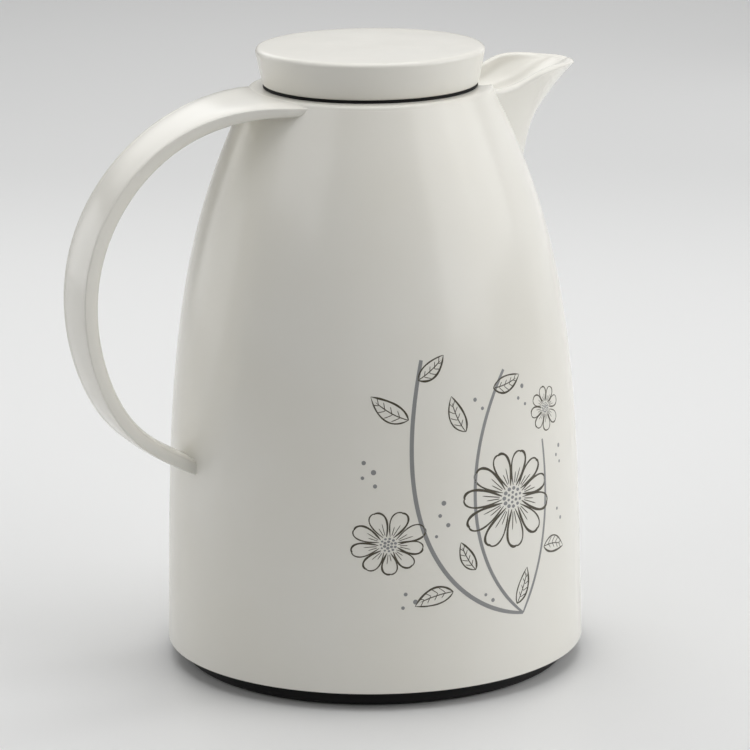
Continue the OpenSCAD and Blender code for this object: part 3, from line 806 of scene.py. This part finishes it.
def outer_section(w, h, t):
    """Outer strap from the joint line round the outside to the joint line: (y, depth)."""
    hw, sp = w / 2, 0.77 * h
    rc = 0.5 * (1 - max(0, t)) ** 14
    f = hw - 1.1
    fade = float(smooth01((t - 0.03) / 0.08))          # the border strip starts a little way out from the rim
    p = 2 + 12 * rc
    face = lambda y: CROWN * abs(y / f) ** p - rc * (1 - abs(y / f) ** p)
    half = [(side_y(w, h, sp) - 0.07, sp + 0.02), (side_y(w, h, sp - 0.03) - 0.02, sp - 0.03), (side_y(w, h, sp - 0.10), sp - 0.10)]
    for d in np.linspace(sp - 0.3, 1.45, 9):
        half.append((side_y(w, h, d), d))
    # tight rounding at the corner, then a narrow border strip and a shallow step on to the crowned face
    half += [(hw, 1.2), (hw - 0.015, 1.02), (hw - 0.07, 0.86), (hw - 0.18, 0.735), (hw - 0.34, 0.655), (hw - 0.52, 0.61)]
    lift = 0.2 * fade
    for y, k in ((0.9, 1.0), (1.2, 1.0), (1.42, 1.0), (1.52, 0.85), (1.62, 0.5), (1.72, 0.15), (1.85, 0.0), (2.1, 0.0)):
        yy = hw - y
        half.append((yy, face(yy) + (0.03 if y < 1 else 0) - lift * k + 0.2 * fade))
    for g in np.linspace(0.86, 0.0, 11):
        half.append(((hw - 2.4) * g, face((hw - 2.4) * g) + 0.2 * fade))
    other = [(-y, d) for y, d in reversed(half[:-1])]
    return half + other


def cavity(w, h):
    sp = 0.77 * h
    q = w / 2 - 2.6
    return [(-q, sp + 0.02), (-q + 0.2, sp - 0.1), (-q + 0.2, 2.6), (-q + 0.5, 2.4), (q - 0.5, 2.4), (q - 0.2, 2.6), (q - 0.2, sp - 0.1), (q, sp + 0.02)]


def cover_section(w, h):
    sp = 0.77 * h
    n = 36
    y0 = side_y(w, h, sp)
    pts = [(-(y0 - 0.1), sp + 0.03), (-(y0 - 0.6), sp + 0.03), (y0 - 0.6, sp + 0.03), (y0 - 0.1, sp + 0.03), (y0 - 0.03, sp + 0.06), (side_y(w, h, sp + 0.12), sp + 0.12)]
    for i in range(1, n):
        a = math.pi * i / n
        d = sp + 0.18 + (h - sp - 0.18) * math.sin(a) ** 0.8
        y = side_y(w, h, d) * abs(math.cos(a)) ** 0.12
        pts.append((y if math.cos(a) >= 0 else -y, d))
    pts += [(-side_y(w, h, sp + 0.12), sp + 0.12), (-(y0 - 0.03), sp + 0.06)]
    return pts


def sweep(name, section, t0, t1, n):
    rings = []
    for t in np.linspace(t0, t1, n):
        o, q = strap_frame(float(t))
        rings.append([(o[0] + q[0] * d, y, o[1] + q[1] * d) for y, d in section(strap_width(float(t)), strap_thick(float(t)), float(t))])
    return grid_solid(name, rings)


handle = sweep("handle_strap", lambda w, h, t: outer_section(w, h, t) + cavity(w, h), -0.1, 1.0, 300)
cover = sweep("handle_cover_strip", lambda w, h, t: cover_section(w, h), -0.1, 1.0, 300)
finish_piece(handle, WHITE, ROOT, "handle", slot="shell_plastic")
finish_piece(cover, WHITE, ROOT, "handle_cover", slot="shell_plastic")

# ---------------------------------------------------------------- base
base = lathe("base_cup_turned", rounded([
    (0, 3.2), (59.5, 3.2, 0.5), (60.5, 0.6, 0.3), (62, 0.6, 0.3), (62, 2.4), (68, 2.4), (68, 0.6, 0.3), (71.2, 0.6, 0.3), (72, 1.4, 0.5),
    (72, 6.6), (74.9, 6.6, 0.2), (74.9, 7.4, 0.2), (71.2, 7.4), (71.2, 19, 0.3), (69, 19, 0.3), (69, 5.6, 0.4), (18, 5.6, 0.4), (18, 15, 0.3), (15, 15, 0.3), (15, 5.6, 0.4), (0, 5.6)],
    closed=False, steps=5), 320, closed=False)
finish_piece(base, BLACK, ROOT, "base_cup", slot="base_plastic")
foot = lathe("foot_ring_turned", rounded([(62.1, 0.5, 0.2), (62.6, 0, 0.3), (67.4, 0, 0.3), (67.9, 0.5, 0.2), (67.9, 2.4), (62.1, 2.4)], steps=4), 320)
finish_piece(foot, FOOT_RUBBER, ROOT, "foot_ring", slot="foot_rubber")

# ---------------------------------------------------------------- flask neck and inside
def wall_line(r, b, n, top):
    q = [(r * math.sin(a), 53 - b * math.cos(a)) for a in np.linspace(0, math.pi / 2, 48)]
    s = bez([[r, 120], [r, 151], [r * 0.66, 156], [n, 180]], np.linspace(0, 1, 60))
    return q + [tuple(p) for p in s] + [(n, top)]


outer = wall_line(61, 18, 28, 182.5)
inner = wall_line(59.2, 16.2, 26.2, 182.5)
prof = outer + [(31, 182.5), (31, 184.8), (30.8, 185.3), (30.3, 185.75), (29.7, 185.95), (28.6, 186), (27.5, 185.95), (26.9, 185.75), (26.4, 185.3), (26.2, 184.8)] + inner[::-1]
flask = lathe("flask_inner_wall", prof, 256, closed=False)
finish_piece(flask, SILVER, ROOT, "liner_inner", slot="silvered_glass")

# ---------------------------------------------------------------- lid
CAP_Z = 216.1
CAP_TOP = 230.25
cap = lathe("lid_cap_turned", rounded([
    (0, CAP_TOP), (12, CAP_TOP - 0.02), (21, CAP_TOP - 0.08), (30, CAP_TOP - 0.2), (36, CAP_TOP - 0.33), (39.4, CAP_TOP - 0.42), (40.2, CAP_TOP - 0.48), (40.7, CAP_TOP - 0.58), (41.15, CAP_TOP - 0.76), (41.52, CAP_TOP - 1.04),
    (41.8, CAP_TOP - 1.4), (41.94, CAP_TOP - 1.72), (41.98, CAP_TOP - 2.05), (41.93, CAP_TOP - 2.4), (39.83, CAP_Z + 1.2), (39.72, CAP_Z + 0.75), (39.5, CAP_Z + 0.32), (39.25, CAP_Z + 0.1), (38.9, CAP_Z),
    (37.2, CAP_Z, 0.2), (39.1, CAP_TOP - 3.4, 0.5), (38.4, CAP_TOP - 2.6), (33, CAP_TOP - 2.4), (33, CAP_Z + 3, 0.3), (30.5, CAP_Z + 3, 0.3), (30.5, CAP_TOP - 2.6), (0, CAP_TOP - 2.4)],
    closed=False, steps=5), 320, closed=False)
finish_piece(cap, WHITE, LID, "lid_cap", slot="shell_plastic")
# Ring under the lid's edge: a seal whose near-black tone is painted shadow standing in for the dark gap between lid and
# rim.
gasket = lathe("lid_gasket_gap_shade_ring", rounded([(34.2, RIM_TOP, 0.15), (39.4, RIM_TOP, 0.2), (39.4, CAP_Z, 0.2), (34.2, CAP_Z, 0.15)], steps=4), 256)
finish_piece(gasket, SEAL_RUBBER_AND_GAP_SHADE, RING, "lid_gasket", slot="seal_rubber")
plug = lathe("stopper_tube", rounded([
    (24.5, 192.8), (29.8, 192.8), (30.4, 193.4, 0.4), (30.4, CAP_Z), (37.1, CAP_Z, 0.2), (37.3, CAP_Z + 2, 0.2), (30.4, CAP_Z + 2),
    (30.4, CAP_TOP - 3), (28.4, CAP_TOP - 3), (28.4, 194.6), (24.5, 194.6)], steps=4), 256)
finish_piece(plug, STOPPER, LID, "stopper_body", slot="stopper_plastic")
for i, a in enumerate((0, 180)):
    lug = thread_lug(f"stopper_lug_{i}", 29.9, 32.5, RIM_Z - 18.95, 35 + a, 105, 15, 4.0, 2.6)
    finish_piece(lug, STOPPER, LID, "stopper_body", slot="stopper_plastic")
plate = lathe("stopper_plate", rounded([
    (0, 187.0), (8, 187.02), (16, 187.2), (22, 187.55), (24.8, 187.85), (25.6, 188.15), (26, 188.7), (26, 190, 0.2), (24.4, 190), (24.4, 194.6), (0, 194.6)],
    closed=False, steps=4), 256, closed=False)
finish_piece(plate, STOPPER, LID, "stopper_base", slot="stopper_plastic")
seal = lathe("stopper_seal_ring", rounded([(24.4, 190), (30.1, 190, 0.25), (30.35, 190.4), (30.35, 192.2, 0.3), (29.8, 192.8, 0.2), (24.4, 192.8)], steps=4), 256)
finish_piece(seal, SILICONE, LID, "stopper_seal", slot="clear_rubber")

# ---------------------------------------------------------------- carried-over CAD nodes
SLOT_MATS = {"shell_plastic": WHITE, "base_plastic": BLACK, "stopper_plastic": STOPPER, "inner_plastic": INNER, "foot_rubber": FOOT_RUBBER,
             "seal_rubber": SEAL_RUBBER_AND_GAP_SHADE, "clear_rubber": SILICONE, "cushion_rubber": CUSHION, "silvered_glass": SILVER,
             "spacer_fibre": FIBRE, "stopper_foam": FOAM, "screw_steel": STEEL}
slot_of = {s["node"]: s["material_slot"] for s in frame["record"]["subparts"]}
for n, o in frame["nodes"].items():
    if o.hide_render:
        continue
    o.data.materials.clear()
    o.data.materials.append(SLOT_MATS[slot_of[n]])
    o.data.polygons.foreach_set("use_smooth", [False] * len(o.data.polygons))

# ---------------------------------------------------------------- stage, light and camera
def backdrop():
    """A wide flat table of pale paper, open on all sides."""
    rad = [0.0, 0.15, 0.3, 0.5, 0.8, 1.2, 1.7, 2.3, 3.0]
    m = 48
    verts, faces = [(0, 0, 0)], []
    for r in rad[1:]:
        verts += [(r / MM * math.cos(2 * math.pi * k / m), r / MM * math.sin(2 * math.pi * k / m), 0) for k in range(m)]
    faces += [(0, 1 + k, 1 + (k + 1) % m) for k in range(m)]
    for q in range(len(rad) - 2):
        a, b = 1 + q * m, 1 + (q + 1) * m
        faces += [(a + k, b + k, b + (k + 1) % m, a + (k + 1) % m) for k in range(m)]
    o = mesh_obj("backdrop", verts, faces)
    m_, nt, b = nodes_of("pale_paper")
    tc = add(nt, "ShaderNodeTexCoord")
    n1 = add(nt, "ShaderNodeTexNoise", Scale=2.0, Detail=3.0)
    n2 = add(nt, "ShaderNodeTexNoise", Scale=900.0, Detail=2.0)
    for n in (n1, n2):
        nt.links.new(tc.outputs["Object"], n.inputs["Vector"])
    nt.links.new(mixrgb(nt, n1.outputs["Fac"], (0.81, 0.815, 0.81, 1), (0.83, 0.83, 0.825, 1)), b.inputs["Base Color"])
    bu = add(nt, "ShaderNodeBump", Strength=0.1, Distance=0.00005)
    nt.links.new(n2.outputs["Fac"], bu.inputs["Height"])
    nt.links.new(bu.outputs["Normal"], b.inputs["Normal"])
    b.inputs["Roughness"].default_value = 0.42
    o.data.materials.append(m_)


backdrop()


def area(name, loc, target, size, power, color=(1, 1, 1), spread=math.pi):
    d = bpy.data.lights.new(name, "AREA")
    d.shape = "RECTANGLE"
    d.size, d.size_y = size
    d.energy = power
    d.color = color
    d.spread = spread
    o = bpy.data.objects.new(name, d)
    o.location = loc
    o.visible_camera = False
    v = Vector(target) - Vector(loc)
    o.rotation_mode = "QUATERNION"
    o.rotation_quaternion = v.to_track_quat("-Z", "Y")
    scene.collection.objects.link(o)
    return o


# directions seen from the camera: right, towards the viewer, up
RT = np.array([0.9061, -0.4231, 0.0])
TO = np.array([-0.4226, -0.9063, 0.0])
UP = np.array([0, 0, 1.0])


def at(r, t, u):
    return tuple(RT * r + TO * t + UP * u)


def around(name, az, el, dist, size, power):
    """A soft box on a ring about the object: az from the viewer's side towards the right, el above the table."""
    a, e = math.radians(az), math.radians(el)
    return area(name, at(dist * math.cos(e) * math.sin(a), dist * math.cos(e) * math.cos(a), 0.12 + dist * math.sin(e)), (0, 0, 0.12), size, power)


LIGHTS = {
    "top": around("top_soft", 0, 90, 0.95, (0.9, 0.8), 4.9),
    "paper": area("paper_wash", at(0, -0.3, 0.9), at(0, -1.1, 0.1), (0.9, 0.3), 2.2),
    "far": area("far_wash", at(0, -1.55, 1.3), at(0, -1.6, 0), (2.2, 0.9), 6.5, spread=math.radians(110)),
    "right_front": around("right_front", 60, 24, 1.2, (0.7, 0.95), 4.1),
    "right": around("right", 92, 26, 1.2, (0.7, 0.75), 3.2),
    "right_back": around("right_back_low", 138, 6, 1.2, (1.1, 0.45), 1.0),
    "back_left": around("back_left_high", 212, 34, 1.2, (0.8, 0.5), 1.5),
    "left_low": around("left_low", 248, 6, 1.2, (1.0, 0.45), 1.9),
    "left_front": around("left_front", 303, 33, 1.2, (0.85, 0.5), 2.0),
    "back": area("back_panel", at(0, -0.72, 0.55), (0, 0, 0.25), (1.2, 0.5), 0.8),
}
world = bpy.data.worlds.new("studio")
scene.world = world
world.use_nodes = True
world.node_tree.nodes["Background"].inputs["Color"].default_value = (1, 1, 1, 1)
world.node_tree.nodes["Background"].inputs["Strength"].default_value = 0.13

cam_d = bpy.data.cameras.new("camera")
cam_d.sensor_width = 36.0
cam_d.lens = 4038.83 / 750 * 36
cam_d.clip_start, cam_d.clip_end = 0.05, 20
cam = bpy.data.objects.new("camera", cam_d)
scene.collection.objects.link(cam)
rt = Vector((0.905181, -0.424944, -0.008316)).normalized()
up = Vector((0.109396, 0.214030, 0.970682)).normalized()
fw = Vector((0.410706, 0.879553, -0.240223)).normalized()
rot = Matrix((rt, up, -fw)).transposed()
cam.matrix_world = Matrix.Translation((-0.61734, -1.32388, 0.46712)) @ rot.to_4x4()
scene.camera = cam
scene.view_settings.view_transform = "Standard"
scene.view_settings.look = "None"
scene.view_settings.exposure = 0.0
